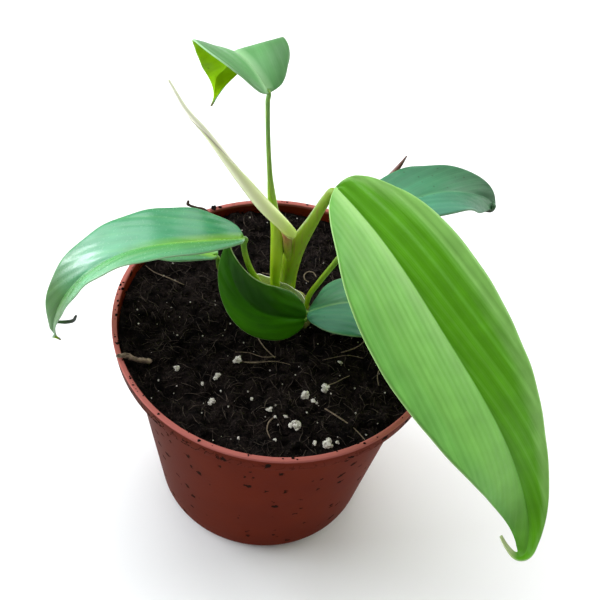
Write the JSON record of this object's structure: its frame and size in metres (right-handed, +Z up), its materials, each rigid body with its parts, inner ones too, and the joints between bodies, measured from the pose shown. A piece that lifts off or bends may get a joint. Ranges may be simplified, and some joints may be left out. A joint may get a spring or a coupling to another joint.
{
  "type": "potted philodendron",
  "caption": "Young potted philodendron: narrow arching leaves with long hooked tips and a still-rolled new leaf, growing from peat soil in a plain thin-walled nursery pot.",
  "frame": {"origin": "middle of the underside of the pot's foot, on the surface the pot stands on", "axes": "+Z up; -Y is the front that the picture looks at from above; the largest leaf hangs out over the rim towards +X and -Y, the left leaf towards -X"},
  "size_m": [0.188, 0.1212, 0.2094],
  "materials": {
    "pot_plastic": "thin terracotta-coloured plastic, half matt, dusted with soil",
    "peat_soil": "damp black-brown peat mix with fine fibres",
    "stem_crown": "green-brown stem base with old sheath fibre",
    "stalk_green": "smooth satin yellow-green stalk",
    "stalk_olive": "smooth satin olive stalk with a reddish edge",
    "leaf_green": "glossy mid green blade with fine side veins and a thin pale margin",
    "leaf_dark": "glossy dark green blade",
    "leaf_new": "satin cream and pale yellow-green rolled blade",
    "papery_sheath": "thin dry papery sheath",
    "twig_bark": "dull brown bark",
    "perlite": "rough off-white grains"
  },
  "bodies": {
    "root": {"pot": "pot_plastic", "soil": "peat_soil", "stem_crown": "stem_crown", "petiole_front_right": "stalk_olive", "blade_front_right": "leaf_green", "petiole_left": "stalk_green", "blade_left": "leaf_green", "petiole_tall": "stalk_green", "blade_tall": "leaf_green", "petiole_back_right": "stalk_green", "blade_back_right": "leaf_green", "petiole_front": "stalk_green", "blade_front": "leaf_dark", "petiole_left_low": "stalk_green", "blade_left_low": "leaf_green", "petiole_right_low": "stalk_green", "blade_right_low": "leaf_green", "new_leaf": "leaf_new", "sheath_strip": "papery_sheath", "twig": "twig_bark", "perlite_1": "perlite", "perlite_2": "perlite", "perlite_3": "perlite", "perlite_4": "perlite", "perlite_5": "perlite", "perlite_6": "perlite", "perlite_7": "perlite", "perlite_8": "perlite", "perlite_9": "perlite"}
  },
  "joints": []
}
